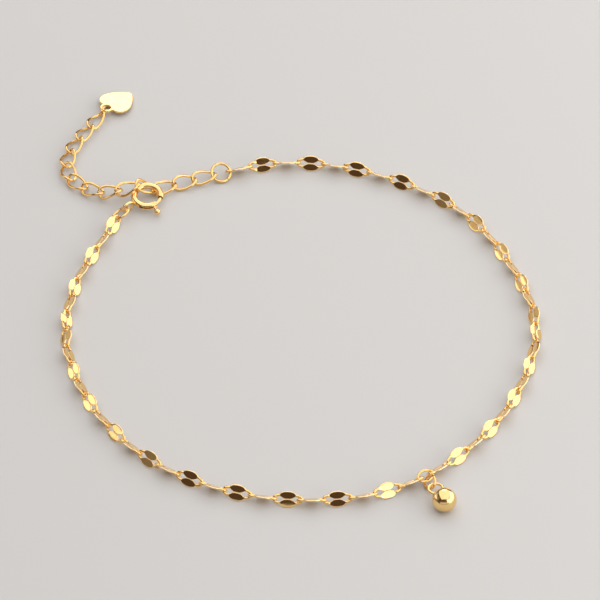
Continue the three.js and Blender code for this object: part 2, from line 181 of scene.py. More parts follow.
def carried(line, normal, across, up):
    """A section carried along a flat line: point = line + across times its outward normal, at height up."""
    flat = line[:, None] + across[..., None] * normal[:, None]
    return np.concatenate([flat, np.broadcast_to(up, across.shape)[..., None]], -1)


def grid_faces(rows, columns, closed_rows=True, closed_columns=True):
    """Four-sided faces of a grid of points, and each corner's share of the way along and round the grid."""
    row, column = np.meshgrid(
        np.arange(rows - (not closed_rows)), np.arange(columns - (not closed_columns)), indexing="ij")
    corners = np.stack([
        np.stack([row, row + 1, row + 1, row], -1),
        np.stack([column, column, column + 1, column + 1], -1),
    ], -1).reshape(-1, 4, 2)
    faces = corners[..., 0] % rows * columns + corners[..., 1] % columns
    return faces, corners / (rows, columns)


def add_mesh(name, points, faces, shares, length, girth, rim=None):
    """An object of points in millimetres and their faces. Its map runs along and round the wire in
    millimetres, and its rim attribute is 1 on worn edges."""
    mesh = bpy.data.meshes.new(name)
    mesh.from_pydata((points.reshape(-1, 3) * MM).tolist(), [], faces.tolist())
    mesh.polygons.foreach_set("use_smooth", np.ones(len(faces), bool))
    wire_map = mesh.uv_layers.new(name="wire")
    wire_map.data.foreach_set("uv", (shares * (length, girth)).ravel())
    worn = mesh.attributes.new("rim", "FLOAT", "POINT")
    worn.data.foreach_set("value", np.zeros(len(mesh.vertices)) if rim is None else rim.ravel())
    piece = bpy.data.objects.new(name, mesh)
    bpy.context.scene.collection.objects.link(piece)
    return piece


def fit(piece, node, material, body="anklet"):
    """Gives a piece its metal, and puts it in the place of its solid."""
    piece.data.materials.clear()
    piece.data.materials.append(material)
    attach(piece, body)
    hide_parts(node)


def polished_gold(name, tone, deep, gloss, worn_tone):
    """Polished gold plate. Two close golds drift over each other in patches of about a millimetre, faint
    drawn lines run along the wire, the gloss is cloudy, and rims are worn to a paler gold."""
    material = bpy.data.materials.new(name)
    material.use_nodes = True
    nodes, link = material.node_tree.nodes, material.node_tree.links.new
    shader = nodes["Principled BSDF"]
    shader.inputs["Metallic"].default_value = 1.0

    def noise(vector, scale, detail):
        """Cloudy noise over a vector, at a scale and with finer layers on it."""
        cloud = nodes.new("ShaderNodeTexNoise")
        cloud.inputs["Scale"].default_value = scale
        cloud.inputs["Detail"].default_value = detail
        link(vector, cloud.inputs["Vector"])
        return cloud.outputs["Fac"]

    def spread(value, low, high):
        """The middle part of a noise's range, carried to the range from low to high."""
        ramp = nodes.new("ShaderNodeMapRange")
        ramp.inputs["From Min"].default_value = NOISE_LOW
        ramp.inputs["From Max"].default_value = NOISE_HIGH
        ramp.inputs["To Min"].default_value = low
        ramp.inputs["To Max"].default_value = high
        link(value, ramp.inputs["Value"])
        return ramp.outputs["Result"]

    def blend(factor, first, second):
        """The first colour where the factor is 0, and the second where it is 1."""
        mix = nodes.new("ShaderNodeMix")
        mix.data_type = "RGBA"
        link(factor, mix.inputs["Factor"])
        for socket, colour in ((mix.inputs["A"], first), (mix.inputs["B"], second)):
            if isinstance(colour, tuple):
                socket.default_value = (*colour, 1)
            else:
                link(colour, socket)
        return mix.outputs["Result"]

    def bumped(height, strength, depth):
        """A normal tipped by the slope of a height."""
        bump = nodes.new("ShaderNodeBump")
        bump.inputs["Strength"].default_value = strength
        bump.inputs["Distance"].default_value = depth
        link(height, bump.inputs["Height"])
        return bump

    place = nodes.new("ShaderNodeTexCoord")
    wire = nodes.new("ShaderNodeUVMap")
    wire.uv_map = "wire"
    stretch = nodes.new("ShaderNodeMapping")
    stretch.inputs["Scale"].default_value = DRAWN_STRETCH
    link(wire.outputs["UV"], stretch.inputs["Vector"])
    rim = nodes.new("ShaderNodeAttribute")
    rim.attribute_name = "rim"

    patches = noise(place.outputs["Object"], PATCH_SCALE, PATCH_DETAIL)
    drawn = noise(stretch.outputs["Vector"], 1, DRAWN_DETAIL)
    haze = noise(place.outputs["Object"], HAZE_SCALE, HAZE_DETAIL)
    plate = blend(spread(patches, 0, 1), tone, deep)
    link(blend(rim.outputs["Fac"], plate, worn_tone), shader.inputs["Base Color"])
    link(spread(haze, *gloss), shader.inputs["Roughness"])
    grain = bumped(drawn, GRAIN_STRENGTH, GRAIN_DEPTH)
    ripple = bumped(patches, RIPPLE_STRENGTH, RIPPLE_DEPTH)
    link(grain.outputs["Normal"], ripple.inputs["Normal"])
    link(ripple.outputs["Normal"], shader.inputs["Normal"])
    return material


def lip_links(tilts):
    """Points of lip links in their own frames, one for each row of tilts. The section is a flat slab of half
    thickness b that reaches a outwards and c inwards from the wire's middle: across = (a - b) f + b cos w and
    up = b sin w, with c for a on the inner side, where f is 1 round the outer edge, -1 round the inner one
    and between them on the flats. The inner edge is squarer where the lips meet. Each lip is turned a little
    about its own middle by its tilt."""
    half_length = (LIP_PITCH - LIP_SEAT) / 2 + LIP_WIRE
    line, normal, _ = loop_line(half_length, LIP_OFFSET, LIP_SQUARENESS, LIP_STATIONS)
    from_middle, from_seam = np.abs(line).T
    bulge = np.maximum(0, 1 - (from_middle / LIP_HALF_LENGTH) ** BULGE_POWER)
    thin = np.minimum(1, LIP_SHOULDER * bulge**THIN_POWER)
    thickness = BOW_WIRE + (LIP_HALF_THICKNESS - BOW_WIRE) * thin
    outer = np.maximum(BOW_WIRE + BOW_FLAT, LIP_REACH * bulge**REACH_POWER)
    hole = np.maximum(0, from_middle - SEAM_HALF_LENGTH) / (LIP_HALF_LENGTH - SEAM_HALF_LENGTH)
    inner = np.maximum(BOW_WIRE + BOW_FLAT, from_seam - SEAM_GAP - HOLE_SPREAD * hole**HOLE_POWER)
    edge = np.linspace(-np.pi / 2, np.pi / 2, LIP_EDGE_POINTS)
    w = np.concatenate([edge, [np.pi / 2] * 2, edge + np.pi, [-np.pi / 2] * 2])
    flat = np.array([ROLLED_EDGE, -ROLLED_EDGE])
    f = np.concatenate([[1] * LIP_EDGE_POINTS, flat, [-1] * LIP_EDGE_POINTS, -flat])
    crown = (np.abs(f) < 1) * LIP_CROWN * thin[:, None]
    soft = 1 + (SEAM_EDGE - 1) * (f == -1) * thin[:, None]
    width = np.where(f > 0, outer[:, None], inner[:, None])
    cosine, sine = np.round(np.cos(w), EXACT_DIGITS), np.round(np.sin(w), EXACT_DIGITS)
    thickness = thickness[:, None]
    across = (width - thickness) * f + thickness * np.sign(cosine) * np.abs(cosine) ** soft
    up = thickness * np.sign(sine) * np.abs(sine) ** soft + crown * np.sign(sine)
    side = (line[:, 1] > 0).astype(int)
    turn = np.radians(tilts[:, side] * thin)[..., None]
    turned_across = across * np.cos(turn) - up * np.sin(turn)
    turned_up = across * np.sin(turn) + up * np.cos(turn)
    points = np.stack([carried(line, normal, a, u) for a, u in zip(turned_across, turned_up)])
    rim = thin[:, None] * (np.abs(f) == 1) * np.abs(np.cos(w)) ** WORN_POWER
    return points, rim


lip_gold = polished_gold(
    "lip_gold", tone=(0.96, 0.655, 0.27), deep=(0.93, 0.6, 0.225), gloss=(0.05, 0.13),
    worn_tone=(1.0, 0.74, 0.42))
steepest = np.radians(LIP_ROLL + LIP_LEAN)
lip_height = (LIP_OFFSET + LIP_HALF_WIDTH) * np.sin(steepest) + LIP_HALF_THICKNESS * np.cos(steepest)
bearing, radius = np.array(LOOP_ROUTE, float).T
loop_route = smooth_route(np.stack([
    LOOP_CENTRE[0] + radius * np.cos(np.radians(bearing)),
    LOOP_CENTRE[1] + radius * np.sin(np.radians(bearing)),
    np.full(len(bearing), lip_height),
], -1))
uneven = np.random.default_rng(UNEVEN_SEED)


def add_lip_stretch(side, sections, start, first_place):
    """One stretch of chain in its sections. Each link's middle is halfway along a chord of the route, one
    pitch long, and the next link starts where it ends. Returns where the stretch ends."""
    place, at = first_place, start
    for number, count in enumerate(sections, 1):
        at -= SECTION_SLACK * (number > 1)
        tilts = np.clip(uneven.normal(0, LIP_UNEVEN, (count, 2)), -2 * LIP_UNEVEN, 2 * LIP_UNEVEN)
        links, rim = lip_links(tilts)
        for i in range(count):
            ahead = chord_on(loop_route, at, LIP_PITCH)
            tail, head = along(loop_route, at), along(loop_route, ahead)
            roll = (LIP_ROLL if place % 2 == 0 else -LIP_ROLL) + LIP_LEAN * unit(head - tail)[0]
            links[i] = links[i] @ link_turn(head - tail, roll) + (tail + head) / 2
            at, place = ahead, place + 1
        faces, shares = grid_faces(*rim.shape)
        offsets = np.arange(count)[:, None, None] * rim.size
        piece = add_mesh(
            f"lip_links_{side}_{number}", links, (faces + offsets).reshape(-1, 4),
            np.tile(shares, (count, 1, 1)) + np.repeat(np.arange(count), len(faces))[:, None, None],
            *LIP_MAP, np.tile(rim.ravel(), count))
        fit(piece, f"lip_chain_{side}_{number}", lip_gold)
    return at


# The charm's oval ring takes the place between the two stretches.
left_end = add_lip_stretch("left", LEFT_SECTIONS, 0.0, 1)
right_start = chord_on(loop_route, left_end, CHARM_GAP)
right_end = add_lip_stretch("right", RIGHT_SECTIONS, right_start, sum(LEFT_SECTIONS) + 2)

# Charm rings. A soldered oval ring of round gold-plated wire takes one place in the chain. A jump ring, a
# loop of wire bent shut with a hairline joint, hangs from it and leans on the table.

RING_STATIONS = 72
RING_SIDES = 20
PLAIN_OVAL = 2  # squareness of an ellipse
CHARM_LINK = {"half_length": 1.22, "half_width": 0.8, "wire": 0.18, "roll": 27}
CHARM_RING = {"half_length": 1.35, "half_width": 1.0, "wire": 0.19, "out": 1.55, "up": 1.06}
CHARM_RING_RISE = 21
CHARM_RING_LEAN = 52
CHARM_HEADING = -10
JOINT_WIDTH = 0.035
JOINT_ANGLE = 118
BROKEN_EDGE = 0.14  # share of the wire's radius
SEAM_REACH = 1e-8  # metres


def round_wire(line, normal, wire, sides=RING_SIDES):
    """Round wire along a flat line: across = wire cos w, up = wire sin w. The wire may thin along it."""
    w = np.linspace(0, 2 * np.pi, sides, endpoint=False)
    wire = np.broadcast_to(wire, len(line))[:, None]
    return carried(line, normal, wire * np.cos(w), wire * np.sin(w))


def weld(piece, reach=SEAM_REACH):
    """Closes a piece's seams and poles, takes out slivers thinner than a reach, and points its faces
    outwards."""
    skin = bmesh.new()
    skin.from_mesh(piece.data)
    bmesh.ops.remove_doubles(skin, verts=skin.verts, dist=reach)
    bmesh.ops.dissolve_degenerate(skin, edges=skin.edges, dist=reach)
    bmesh.ops.recalc_face_normals(skin, faces=skin.faces)
    skin.to_mesh(piece.data)
    skin.free()


def closed_ring(name, half_length, half_width, wire, turn, centre, squareness=PLAIN_OVAL, twist=0):
    """A soldered loop of round wire. With a twist, a point turns about the long axis by twist cos u."""
    line, normal, share = loop_line(half_length, half_width, squareness, RING_STATIONS)
    points = round_wire(line, normal, wire)
    angle = (np.radians(twist) * share)[:, None]
    y, z = points[..., 1].copy(), points[..., 2].copy()
    points[..., 1] = y * np.cos(angle) - z * np.sin(angle)
    points[..., 2] = y * np.sin(angle) + z * np.cos(angle)
    faces, shares = grid_faces(RING_STATIONS, RING_SIDES)
    length = np.pi * (half_length + half_width)
    return add_mesh(name, points @ turn + centre, faces, shares, length, 2 * np.pi * wire)


def jump_ring(name, half_length, half_width, wire, turn, centre):
    """A loop of round wire with a hairline joint. At each cut end the wire's edge is drawn in and back by
    the same share, and a last section of no width closes the end flat."""
    line, normal, _ = loop_line(
        half_length, half_width, PLAIN_OVAL, RING_STATIONS, opening=(JOINT_ANGLE, JOINT_WIDTH))
    order = np.concatenate([[0] * 2, np.arange(RING_STATIONS), [RING_STATIONS - 1] * 2])
    thin = np.ones(len(order))
    thin[[0, -1]] = 0
    thin[[1, -2]] = 1 - BROKEN_EDGE
    points = round_wire(line[order], normal[order], wire * thin)
    tangent = np.stack([-normal[:, 1], normal[:, 0]], -1)[order]
    draw_back = np.zeros(len(order))
    draw_back[2], draw_back[-3] = BROKEN_EDGE * wire, -BROKEN_EDGE * wire
    points[..., :2] += (tangent * draw_back[:, None])[:, None]
    faces, shares = grid_faces(len(order), RING_SIDES, closed_rows=False)
    length = np.pi * (half_length + half_width)
    piece = add_mesh(name, points @ turn + centre, faces, shares, length, 2 * np.pi * wire)
    weld(piece)
    return piece


link_gold = polished_gold(
    "link_gold", tone=(0.94, 0.635, 0.255), deep=(0.9, 0.575, 0.21), gloss=(0.08, 0.17),
    worn_tone=(1.0, 0.72, 0.4))
charm_tail, charm_head = along(loop_route, left_end), along(loop_route, right_start)
charm_ahead = unit(charm_head - charm_tail)
charm_centre = (charm_tail + charm_head) / 2
charm_link = closed_ring(
    "charm_oval_ring", CHARM_LINK["half_length"], CHARM_LINK["half_width"], CHARM_LINK["wire"],
    link_turn(charm_ahead, CHARM_LINK["roll"]), charm_centre)
fit(charm_link, "charm_link", link_gold)

charm_foot = charm_centre * (1, 1, 0)
charm_out = np.cross(charm_ahead, UP) @ turn_about(UP, CHARM_HEADING)
charm_turn = np.array([charm_out, np.cross(UP, charm_out), UP])
ring_turn = turn_about((1, 0, 0), CHARM_RING_LEAN) @ turn_about((0, 1, 0), -CHARM_RING_RISE) @ charm_turn
charm_ring = jump_ring(
    "charm_jump_ring", CHARM_RING["half_length"], CHARM_RING["half_width"], CHARM_RING["wire"], ring_turn,
    charm_foot + np.array([CHARM_RING["out"], 0, CHARM_RING["up"]]) @ charm_turn)
fit(charm_ring, "charm_ring", link_gold)

# Ball charm. A polished gold-plated bead with a round wire bail soldered to its side. The bail hangs in the
# jump ring, and the bead lies on the table.

BALL = {"radius": 1.75, "out": 6.16}
BALL_ROUND = 72
BALL_DOWN = 48
CHARM_BAIL = {"radius": 1.03, "wire": 0.2, "out": 3.37, "up": 1.46, "rise": 3}
SOLDER_REACH = 1e-6  # metres


def turned_shape(name, axial, radial, turn, centre, sides=BALL_ROUND):
    """A shape turned on a lathe: x = axial, y = radial cos w, z = radial sin w, closed at both ends."""
    w = np.linspace(0, 2 * np.pi, sides, endpoint=False)
    axial, radial = np.asarray(axial, float)[:, None], np.asarray(radial, float)[:, None]
    points = np.stack(np.broadcast_arrays(axial, radial * np.cos(w), radial * np.sin(w)), -1)
    faces, shares = grid_faces(len(axial), sides, closed_rows=False)
    piece = add_mesh(
        name, points @ turn + centre, faces, shares, np.ptp(axial), 2 * np.pi * np.max(radial))
    weld(piece)
    return piece


def soldered(piece, *others):
    """Joins pieces into one skin, the union of their solids, and keeps the first one's name."""
    for other in others:
        joint = piece.modifiers.new("solder", "BOOLEAN")
        joint.operation = "UNION"
        joint.solver = "EXACT"
        joint.object = other
    view = bpy.context.evaluated_depsgraph_get()
    skin = bpy.data.meshes.new_from_object(piece.evaluated_get(view))
    piece.modifiers.clear()
    piece.data = skin
    for other in others:
        bpy.data.objects.remove(other)
    weld(piece, SOLDER_REACH)
    return piece


bright_gold = polished_gold(
    "bright_gold", tone=(0.98, 0.7, 0.315), deep=(0.95, 0.65, 0.27), gloss=(0.14, 0.22),
    worn_tone=(1.0, 0.78, 0.48))
down = np.linspace(0, np.pi, BALL_DOWN)
ball = turned_shape(
    "ball_charm", -BALL["radius"] * np.cos(down), BALL["radius"] * np.sin(down), charm_turn,
    charm_foot + np.array([BALL["out"], 0, BALL["radius"]]) @ charm_turn)
bail = closed_ring(
    "bail", CHARM_BAIL["radius"], CHARM_BAIL["radius"], CHARM_BAIL["wire"],
    turn_about((0, 1, 0), -CHARM_BAIL["rise"]) @ charm_turn,
    charm_foot + np.array([CHARM_BAIL["out"], 0, CHARM_BAIL["up"]]) @ charm_turn)
fit(soldered(ball, bail), "charm_ball", bright_gold)

# Spring ring clasp. Its body is a gold-plated tube bent round, with a gap, a slot for the thumb knob along
# its outer side, and an upright wire loop soldered to its back. It lies nearly flat, hooked in the extender.

CLASP_CENTRE = np.array([-22.3, 20.8, 1.35])
CLASP_TILT = 9
CLASP_RADIUS = 1.98
TUBE_RADIUS = 0.5
BORE_RADIUS = 0.36
TUBE_FROM, TUBE_TO = -11, 311
SLOT_FROM = 244
SLOT_HALF_WIDTH = 0.24
TUBE_EDGE = 0.06
TUBE_SIDES = 25
MOUTH_STATIONS = 5
TUBE_STATIONS = 90
SLOT_END_STATIONS = 10
SLOT_STATIONS = 26
TUBE_MAP = (11.1, 3.1)  # length and girth
UPRIGHT = 90
CLASP_LOOP = {"bearing": 216, "reach": 3.55, "half_length": 0.95, "half_height": 0.74, "wire": 0.2}

clasp_turn = turn_about((1, 0, 0), CLASP_TILT)


def on_clasp(points):
    """Points of the clasp's own frame, tilted and moved to its place."""
    return points @ clasp_turn + CLASP_CENTRE


def spokes(angle):
    """Flat unit vectors at angles in radians: x = cos angle, y = sin angle."""
    return np.stack([np.cos(angle), np.sin(angle)], -1)


def clasp_tube():
    """The tube's wall round the ring. At each angle the section is an open ring: its outside runs from one
    edge of the slot round to the other, and its bore runs back. The slot's half width h is constant, ends
    in a half circle and is 0 beyond it, where the edges meet, and both mouths have broken edges."""
    outside = CLASP_RADIUS + TUBE_RADIUS
    slot_end = SLOT_FROM - np.degrees(SLOT_HALF_WIDTH / outside)
    broken = np.degrees(np.linspace(0, TUBE_EDGE, MOUTH_STATIONS) / CLASP_RADIUS)
    degrees = np.concatenate([
        TUBE_FROM + broken, np.linspace(TUBE_FROM + broken[-1], slot_end, TUBE_STATIONS)[1:],
        np.linspace(slot_end, SLOT_FROM, SLOT_END_STATIONS)[1:],
        np.linspace(SLOT_FROM, TUBE_TO - broken[-1], SLOT_STATIONS)[1:], TUBE_TO - broken[-2::-1],
    ])
    short = np.radians(np.maximum(0, SLOT_FROM - degrees)) * outside
    h = np.sqrt(np.maximum(0, np.round(SLOT_HALF_WIDTH**2 - short**2, EXACT_DIGITS)))
    to_mouth = np.radians(np.minimum(degrees - TUBE_FROM, TUBE_TO - degrees)) * CLASP_RADIUS
    in_edge = np.maximum(0, TUBE_EDGE - to_mouth)
    worn = TUBE_EDGE - np.sqrt(np.maximum(0, TUBE_EDGE**2 - in_edge**2))
    outer = TUBE_RADIUS - worn
    share = np.linspace(0, 1, TUBE_SIDES)
    sections = []
    for reach, way in ((outer, share), (np.full(len(h), BORE_RADIUS), share[::-1])):
        edge = np.arcsin(h / reach)[:, None]
        w = edge + (2 * np.pi - 2 * edge) * way
        sections.append((reach[:, None] * np.cos(w), reach[:, None] * np.sin(w)))
    across, up = (np.concatenate(parts, axis=1) for parts in zip(*sections))
    normal = spokes(np.radians(degrees))
    points = carried(CLASP_RADIUS * normal, normal, across, up)
    columns = 2 * TUBE_SIDES
    faces, shares = grid_faces(len(h), columns, closed_rows=False)
    row, column = faces[:, 0] // columns, faces[:, 0] % columns
    slot_side = (column == TUBE_SIDES - 1) | (column == columns - 1)
    shut = (h[row] == 0) & (h[row + 1] == 0) & slot_side
    faces, shares = faces[~shut], shares[~shut]
    step = np.arange(TUBE_SIDES - 1)
    rings = np.stack([step, step + 1, columns - 2 - step, columns - 1 - step], -1)
    mouths = np.concatenate([rings, rings[:, ::-1] + (len(h) - 1) * columns])
    faces = np.concatenate([faces, mouths])
    shares = np.concatenate([shares, np.zeros((len(mouths), 4, 2))])
    return points, faces, shares


points, faces, shares = clasp_tube()
clasp_body = add_mesh("clasp_body", on_clasp(points), faces, shares, *TUBE_MAP)
weld(clasp_body)
loop_place = np.array([CLASP_LOOP["reach"], 0, 0]) @ turn_about(UP, CLASP_LOOP["bearing"])
end_loop = closed_ring(
    "end_loop", CLASP_LOOP["half_length"], CLASP_LOOP["half_height"], CLASP_LOOP["wire"],
    turn_about((1, 0, 0), UPRIGHT) @ turn_about(UP, CLASP_LOOP["bearing"]) @ clasp_turn,
    on_clasp(loop_place))
fit(soldered(clasp_body, end_loop), "clasp_ring", bright_gold)

# Clasp bolt. A curved metal rod with rounded ends slides in the tube on a hidden spring and closes the gap.
# The thumb knob's stem is riveted into it and stands out through the slot.

BOLT_RADIUS = 0.25
BOLT_FROM, BOLT_TO = 245, 355
THUMB_ANGLE = 297
STEM_RADIUS = 0.17
STEM_FLARE = 1.25
STEM_FLARE_LENGTH = 0.05
KNOB_RADIUS = 0.48
KNOB_REACH = 3.4
KNOB_STATIONS = 24
KNOB_SIDES = 28
BOLT_END_STATIONS = 9
BOLT_STATIONS = 44
BOLT_MAP = (3.8, 1.6)  # length and girth

end_angle = np.linspace(0, np.pi / 2, BOLT_END_STATIONS)
round_end = np.degrees(BOLT_RADIUS * (1 - np.cos(end_angle)) / CLASP_RADIUS)
straight = np.linspace(BOLT_FROM + round_end[-1], BOLT_TO - round_end[-1], BOLT_STATIONS)[1:-1]
bolt_degrees = np.concatenate([BOLT_FROM + round_end, straight, BOLT_TO - round_end[::-1]])
bolt_thin = np.concatenate([np.sin(end_angle), np.ones(len(straight)), np.sin(end_angle)[::-1]])
bolt_normal = spokes(np.radians(bolt_degrees))
points = round_wire(CLASP_RADIUS * bolt_normal, bolt_normal, BOLT_RADIUS * bolt_thin)
faces, shares = grid_faces(len(bolt_degrees), RING_SIDES, closed_rows=False)
bolt = add_mesh("clasp_thumb_bolt", on_clasp(points), faces, shares, *BOLT_MAP)
weld(bolt)
knob_round = np.linspace(np.arcsin(STEM_FLARE * STEM_RADIUS / KNOB_RADIUS), np.pi, KNOB_STATIONS)
knob_axial = KNOB_REACH - KNOB_RADIUS * np.cos(knob_round)
knob_radial = KNOB_RADIUS * np.sin(knob_round)
thumb = turned_shape(
    "thumb", np.concatenate([[CLASP_RADIUS, CLASP_RADIUS], knob_axial[:1] - STEM_FLARE_LENGTH, knob_axial]),
    np.concatenate([[0, STEM_RADIUS, STEM_RADIUS], knob_radial]),
    turn_about(UP, THUMB_ANGLE) @ clasp_turn, CLASP_CENTRE, KNOB_SIDES)
fit(soldered(bolt, thumb), "clasp_bolt", bright_gold, "clasp_bolt")

# Clasp jump ring. A round loop of gold-plated wire, bent shut with a hairline joint. It ties the clasp's
# end loop to the first link of the chain, and leans between them.

CLASP_RING = {"radius": 1.37, "wire": 0.18, "roll": 33}

chain_start = along(loop_route, 0)
loop_inside = CLASP_LOOP["reach"] + CLASP_LOOP["half_length"] - CLASP_LOOP["wire"]
loop_far = on_clasp(np.array([loop_inside, 0, 0]) @ turn_about(UP, CLASP_LOOP["bearing"]))
tie_ring = jump_ring(
    "clasp_tie_ring", CLASP_RING["radius"], CLASP_RING["radius"], CLASP_RING["wire"],
    link_turn(chain_start - loop_far, CLASP_RING["roll"]), (loop_far + chain_start) / 2)
fit(tie_ring, "clasp_jump_ring", link_gold)

# End ring and extender. A jump ring ends the lip chain, and thirteen twisted oval links of round plated wire
# follow it, each soldered shut. The clasp is hooked in the fourth, and the rest lie slack on the table.

END_RING = {"radius": 1.42, "wire": 0.21, "roll": -31}
LIP_SEAT_GAP = 0.26
SEAT_GAP = 0.12
SHORT_STEP = 0.01
EXTENDER_PITCH = 3.2
EXTENDER_WIRE = 0.2
EXTENDER_HALF_WIDTH = 1.03
EXTENDER_SQUARENESS = 2.4
EXTENDER_ROUTE = [  # from the end ring over the clasp's tube to the heart
    (-15.5, 24.9, 0.92), (-18.4, 23.7, 0.98), (-21.9, 22.7, 0.75), (-24.2, 22.0, 2.7), (-27.2, 21.2, 1.6),
    (-29.2, 21.8, 1.05), (-31.6, 23.0, 0.8), (-34.0, 25.4, 0.8), (-34.7, 28.2, 0.8), (-34.2, 31.1, 0.8),
    (-33.0, 34.0, 0.8), (-31.4, 36.7, 0.8), (-29.7, 39.7, 0.93), (-28.7, 41.4, 0.93),
]
EXTENDER_LINKS = [  # roll and twist in degrees, and slack before the link
    (-14, -40, 0), (-30, -40, 0), (-14, -27, 0), (-10, -28, 0.12), (-10, -45, 0.05), (-10, -40, 0.4),
    (-10, -40, 0.3), (-10, -40, 0.25), (-10, -40, 0.2), (-10, -40, 0.03), (-10, -40, 0), (-10, -40, 0),
    (-10, -40, 0),
]

chain_end = along(loop_route, right_end)
chain_onward = unit(along(loop_route, right_end + SHORT_STEP) - along(loop_route, right_end - SHORT_STEP))
ring_inside = END_RING["radius"] - END_RING["wire"]
end_centre = chain_end + chain_onward * (ring_inside - LIP_SEAT_GAP)
extender_ahead = unit(np.array(EXTENDER_ROUTE[0]) - end_centre)
end_ring = jump_ring(
    "chain_end_ring", END_RING["radius"], END_RING["radius"], END_RING["wire"],
    link_turn(extender_ahead, END_RING["roll"]), end_centre)
fit(end_ring, "end_ring", link_gold)

extender_start = end_centre + extender_ahead * (ring_inside - SEAT_GAP)
extender_route = smooth_route([tuple(extender_start), *EXTENDER_ROUTE])
at = 0.0
for number, (roll, twist, slack) in enumerate(EXTENDER_LINKS, 1):
    at -= slack
    ahead = chord_on(extender_route, at, EXTENDER_PITCH)
    tail, head = along(extender_route, at), along(extender_route, ahead)
    extender_link = closed_ring(
        f"extender_oval_{number:02d}", (EXTENDER_PITCH + SEAT_GAP) / 2 + EXTENDER_WIRE, EXTENDER_HALF_WIDTH,
        EXTENDER_WIRE, link_turn(head - tail, roll), (tail + head) / 2, EXTENDER_SQUARENESS, twist)
    fit(extender_link, f"extender_link_{number:02d}", link_gold)
    at = ahead

# Heart tag. A plain heart stamped from flat sheet, plated and tumbled until its edges are soft, with a
# pierced tab in its cleft. A small jump ring ties the tab to the last extender link.

HEART_RING = {"radius": 0.76, "wire": 0.15, "roll": 90, "heading": 60}
HEART_HALF_WIDTH = 2.55
HEART_LENGTH = 5.3
HEART_THICKNESS = 0.4
HEART_CLEFT = 0.7
HEART_TILT = 7
HEART_HEADING = 48
TAB_RADIUS = 1.0
TAB_HOLE = 0.62
SOFT_EDGE = 0.1
FLAT_INSET = 0.16
LOBE_RISE = 0.9  # these shape the outline between the cleft, the widest place and the tip
LOBE_CROWN = 0.6
WIDEST_AT = 1.1  # beyond the cleft
FLANK_FULL = 2.4
FLANK_EASE = (0.6, 1.2)
TIP_HALF_WIDTH = 0.35
TIP_BLUNT = 0.1
TIP_ROUND = [(0.13, 0.12), (0.13, 0.06)]
BEND_POINTS = 200
TIP_POINTS = 40
TAB_POINTS = 200
HOLE_POINTS = 72
OUTLINE_POINTS = 240
SOFT_EDGE_POINTS = 7
EASINGS = 3
HEART_MAP = (17.0, 1.2)  # length and girth of the rim

heart_ring_ahead = np.array([1.0, 0, 0]) @ turn_about(UP, HEART_RING["heading"])
heart_ring_inside = HEART_RING["radius"] - HEART_RING["wire"] - SEAT_GAP / 2
heart_ring_centre = along(extender_route, at) + heart_ring_ahead * heart_ring_inside
heart_ring = jump_ring(
    "heart_tie_ring", HEART_RING["radius"], HEART_RING["radius"], HEART_RING["wire"],
    link_turn(heart_ring_ahead, HEART_RING["roll"]), heart_ring_centre)
fit(heart_ring, "heart_ring", link_gold)


def bend(start, leave, arrive, end, count=BEND_POINTS):
    """A cubic curve from start to end that sets out towards leave and comes in from arrive: the four points
    weighted by (1 - t)^3, 3 t (1 - t)^2, 3 t^2 (1 - t) and t^3."""
    t = np.linspace(0, 1, count)[:, None]
    start, leave, arrive, end = (np.array(p, float) for p in (start, leave, arrive, end))
    return (1 - t) ** 3 * start + 3 * t * (1 - t) ** 2 * leave + 3 * t**2 * (1 - t) * arrive + t**3 * end


def heart_outline():
    """The heart's edge, anticlockwise at even steps: round the tab, along the lower lobe to the blunt tip
    and back along the upper one. Its corners are eased by averaging neighbours."""
    cleft, wide, tip = HEART_CLEFT, HEART_HALF_WIDTH, HEART_LENGTH
    shoulder, tip_side = (cleft + WIDEST_AT, wide), (tip, TIP_HALF_WIDTH)
    lobe = bend((cleft, 0), (cleft - LOBE_RISE, LOBE_RISE), (cleft - LOBE_CROWN, wide), shoulder)
    flank = bend(shoulder, (cleft + FLANK_FULL, wide), (tip - FLANK_EASE[0], FLANK_EASE[1]), tip_side)
    rounding = [(tip + beyond, aside) for beyond, aside in TIP_ROUND]
    blunt = bend(tip_side, *rounding, (tip + TIP_BLUNT, 0), TIP_POINTS)
    upper = np.concatenate([lobe, flank[1:], blunt[1:]])
    upper = upper[np.hypot(*upper.T) > TAB_RADIUS]
    corner = np.arctan2(upper[0, 1], upper[0, 0])
    tab = TAB_RADIUS * spokes(np.linspace(corner, 2 * np.pi - corner, TAB_POINTS))
    edge = np.concatenate([tab[:-1], upper * (1, -1), upper[-2::-1]])
    ring = np.vstack([edge, edge[:1]])
    length = np.concatenate([[0], np.cumsum(np.linalg.norm(np.diff(ring, axis=0), axis=1))])
    even = np.linspace(0, length[-1], OUTLINE_POINTS, endpoint=False)
    outline = np.stack([np.interp(even, length, ring[:, i]) for i in range(2)], -1)
    for _ in range(EASINGS):
        outline = (np.roll(outline, 1, 0) + 2 * outline + np.roll(outline, -1, 0)) / 4
    return outline


def soft_rim(outline):
    """The edge of a plate carried round an outline: flat above, a quarter round, flat side, a quarter round
    and flat below, inset from the outline by a distance at each height."""
    forward = np.roll(outline, -1, 0) - np.roll(outline, 1, 0)
    outward = np.stack([forward[:, 1], -forward[:, 0]], -1)
    outward /= np.linalg.norm(outward, axis=1, keepdims=True)
    a = np.linspace(0, np.pi / 2, SOFT_EDGE_POINTS)
    inset = np.concatenate([[FLAT_INSET], SOFT_EDGE * (1 - np.sin(a))])
    height = np.concatenate([[HEART_THICKNESS], HEART_THICKNESS - SOFT_EDGE * (1 - np.cos(a))])
    inset = np.concatenate([inset, inset[::-1]])
    height = np.concatenate([height, HEART_THICKNESS - height[::-1]])
    return carried(outline, outward, np.broadcast_to(-inset, (len(outline), len(inset))), height)


